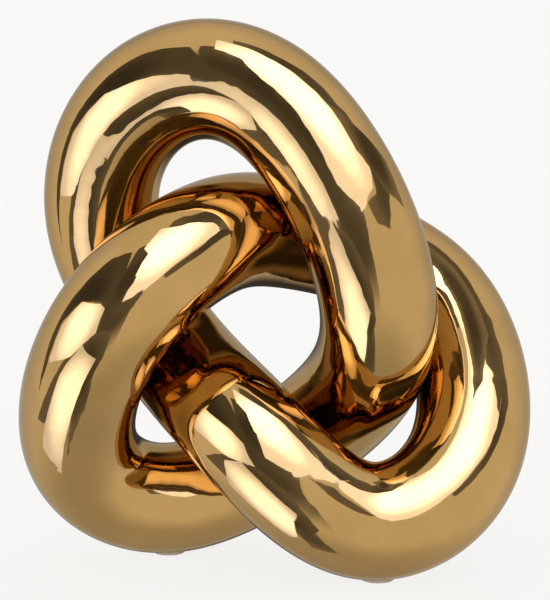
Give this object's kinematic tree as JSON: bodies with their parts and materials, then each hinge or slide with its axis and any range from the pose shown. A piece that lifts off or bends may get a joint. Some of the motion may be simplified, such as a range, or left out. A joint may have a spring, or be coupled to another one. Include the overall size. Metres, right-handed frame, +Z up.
{
  "type": "knot sculpture",
  "caption": "Standing trefoil knot ornament: an endless hollow tube of polished gold-coloured metal, with lobes that loop over and under each other.",
  "frame": {"origin": "on the surface that the knot stands on, under the middle of the tube's outline", "axes": "+Z up; the front, which the picture shows, faces -Y; +X to the right seen from the front; shortest along Y"},
  "size_m": [0.1702, 0.0955, 0.1796],
  "materials": {
    "polished_shell": "mirror polished, gold plated and lacquered",
    "inner_sleeve": "turned, unpolished",
    "plug_rivet": "end polished over with the shell",
    "felt": "pressed wool felt"
  },
  "bodies": {
    "root": {"left_bend_front_shell": "polished_shell", "left_bend_back_shell": "polished_shell", "right_lobe_front_shell": "polished_shell", "right_lobe_back_shell": "polished_shell", "upper_bend_front_shell": "polished_shell", "upper_bend_back_shell": "polished_shell", "left_lobe_front_shell": "polished_shell", "left_lobe_back_shell": "polished_shell", "right_bend_front_shell": "polished_shell", "right_bend_back_shell": "polished_shell", "top_lobe_front_shell": "polished_shell", "top_lobe_back_shell": "polished_shell", "joint_1_sleeve": "inner_sleeve", "joint_2_sleeve": "inner_sleeve", "joint_3_sleeve": "inner_sleeve", "joint_4_sleeve": "inner_sleeve", "joint_5_sleeve": "inner_sleeve", "joint_6_sleeve": "inner_sleeve", "joint_1_rivets": "plug_rivet", "joint_2_rivets": "plug_rivet", "joint_3_rivets": "plug_rivet", "joint_4_rivets": "plug_rivet", "joint_5_rivets": "plug_rivet", "joint_6_rivets": "plug_rivet", "vent_plug": "plug_rivet", "left_rest_pad": "felt", "right_rest_pad": "felt"}
  },
  "joints": []
}
